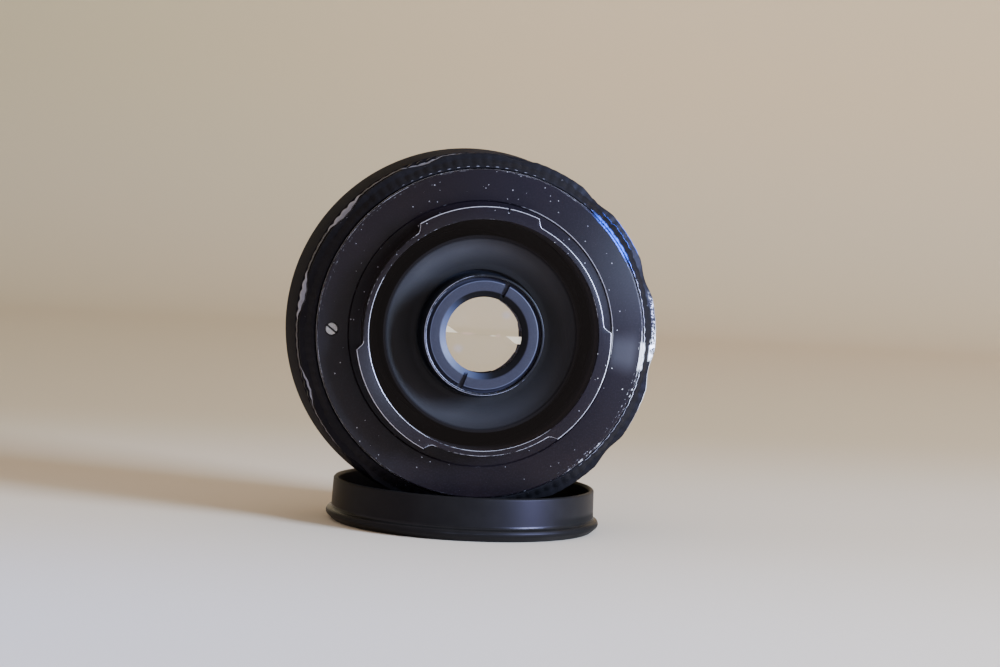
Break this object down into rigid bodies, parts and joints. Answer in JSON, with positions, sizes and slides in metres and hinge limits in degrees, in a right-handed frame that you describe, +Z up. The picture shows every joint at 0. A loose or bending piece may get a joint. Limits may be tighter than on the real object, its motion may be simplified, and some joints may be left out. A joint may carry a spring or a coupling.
{
  "type": "enlarger lens",
  "caption": "Black bayonet-mount enlarger lens with scalloped focusing ring, smooth front drum, iris and glass cells, standing on edge in its round plastic rear cap.",
  "frame": {"origin": "centre of the rear cap's flat underside", "axes": "+Z up; the lens's rear, with its bayonet lugs, faces -Y and leans back 1 degree; +X is to the right seen from the rear"},
  "size_m": [0.069, 0.052, 0.0713],
  "materials": {
    "satin_black": "satin black anodised, bare metal at worn edges",
    "gloss_black": "semi-gloss black",
    "matt_black": "matt anti-reflection black",
    "blue_grey": "blue-grey matt",
    "cap_plastic": "satin moulded black",
    "steel": "turned",
    "brass": "turned",
    "aluminium": "turned",
    "glass": "polished and coated"
  },
  "bodies": {
    "cap": {"lens_cap": "cap_plastic"},
    "mount": {"bayonet_mount": "satin_black", "fixed_tube": "matt_black", "ring_retainer": "matt_black", "focus_stop_screw": "steel", "mount_grub_screw_1": "steel", "mount_grub_screw_2": "steel", "mount_grub_screw_3": "steel", "guide_key": "brass", "guide_key_screw": "steel"},
    "focus_group": {"focus_ring": "satin_black", "front_drum": "satin_black", "focus_helicoid": "brass", "drum_screw_1": "steel", "drum_screw_2": "steel", "drum_screw_3": "steel", "helicoid_set_screw_1": "steel", "helicoid_set_screw_2": "steel", "helicoid_set_screw_3": "steel"},
    "lens_head": {"helicoid_carrier": "aluminium", "lens_barrel": "matt_black", "barrel_lock_ring": "brass", "rear_baffle": "blue_grey", "rear_cell": "gloss_black", "rear_retaining_ring": "blue_grey", "rear_element": "glass", "rear_inner_element": "glass", "iris_base_plate": "matt_black", "middle_element": "glass", "element_spacer": "matt_black", "front_element": "glass", "front_cell": "gloss_black", "front_retaining_ring": "matt_black", "front_plate": "satin_black", "front_plate_screw_1": "steel", "front_plate_screw_2": "steel", "front_plate_screw_3": "steel", "detent_ball": "steel", "detent_spring": "steel"},
    "aperture_group": {"aperture_ring": "satin_black", "iris_cam_ring": "brass", "aperture_drive_pin": "steel"},
    "blade_1": {"iris_blade_1": "matt_black"},
    "blade_2": {"iris_blade_2": "matt_black"},
    "blade_3": {"iris_blade_3": "matt_black"},
    "blade_4": {"iris_blade_4": "matt_black"},
    "blade_5": {"iris_blade_5": "matt_black"},
    "blade_6": {"iris_blade_6": "matt_black"},
    "blade_7": {"iris_blade_7": "matt_black"},
    "blade_8": {"iris_blade_8": "matt_black"}
  },
  "joints": [
    {"name": "lift_from_cap", "type": "slide", "parent": "cap", "child": "mount", "axis": [0, 0, 1], "range_m": [0, 0.04]},
    {"name": "focus_turn", "type": "hinge", "parent": "mount", "child": "focus_group", "pos_m": [-0.0003, -0.015, 0.03725], "axis": [0, -0.9998, 0.0175], "range_deg": [0, 200]},
    {"name": "head_extend", "type": "slide", "parent": "mount", "child": "lens_head", "axis": [0, 0.9998, -0.0175], "range_m": [0, 0.006]},
    {"name": "aperture_turn", "type": "hinge", "parent": "lens_head", "child": "aperture_group", "pos_m": [-0.0003, -0.015, 0.03725], "axis": [0, -0.9998, 0.0175], "range_deg": [-6, 24]},
    {"name": "blade_1_swing", "type": "hinge", "parent": "lens_head", "child": "blade_1", "pos_m": [0.01168, -0.00449, 0.03776], "axis": [0, -0.9998, 0.0175], "range_deg": [-5.5, 22]},
    {"name": "blade_2_swing", "type": "hinge", "parent": "lens_head", "child": "blade_2", "pos_m": [0.00768, -0.00435, 0.04603], "axis": [0, -0.9998, 0.0175], "range_deg": [-5.5, 22]},
    {"name": "blade_3_swing", "type": "hinge", "parent": "lens_head", "child": "blade_3", "pos_m": [-0.00099, -0.00429, 0.04905], "axis": [0, -0.9998, 0.0175], "range_deg": [-5.5, 22]},
    {"name": "blade_4_swing", "type": "hinge", "parent": "lens_head", "child": "blade_4", "pos_m": [-0.00926, -0.00436, 0.04505], "axis": [0, -0.9998, 0.0175], "range_deg": [-5.5, 22]},
    {"name": "blade_5_swing", "type": "hinge", "parent": "lens_head", "child": "blade_5", "pos_m": [-0.01228, -0.00451, 0.03638], "axis": [0, -0.9998, 0.0175], "range_deg": [-5.5, 22]},
    {"name": "blade_6_swing", "type": "hinge", "parent": "lens_head", "child": "blade_6", "pos_m": [-0.00828, -0.00466, 0.02811], "axis": [0, -0.9998, 0.0175], "range_deg": [-5.5, 22]},
    {"name": "blade_7_swing", "type": "hinge", "parent": "lens_head", "child": "blade_7", "pos_m": [0.00039, -0.00471, 0.02509], "axis": [0, -0.9998, 0.0175], "range_deg": [-5.5, 22]},
    {"name": "blade_8_swing", "type": "hinge", "parent": "lens_head", "child": "blade_8", "pos_m": [0.00866, -0.00464, 0.02909], "axis": [0, -0.9998, 0.0175], "range_deg": [-5.5, 22]}
  ],
  "couplings": [
    {"joint": "head_extend", "follows": "focus_turn", "m_per_rad": 0.0017188},
    {"joint": "blade_1_swing", "follows": "aperture_turn", "ratio": 0.9},
    {"joint": "blade_2_swing", "follows": "aperture_turn", "ratio": 0.9},
    {"joint": "blade_3_swing", "follows": "aperture_turn", "ratio": 0.9},
    {"joint": "blade_4_swing", "follows": "aperture_turn", "ratio": 0.9},
    {"joint": "blade_5_swing", "follows": "aperture_turn", "ratio": 0.9},
    {"joint": "blade_6_swing", "follows": "aperture_turn", "ratio": 0.9},
    {"joint": "blade_7_swing", "follows": "aperture_turn", "ratio": 0.9},
    {"joint": "blade_8_swing", "follows": "aperture_turn", "ratio": 0.9}
  ]
}
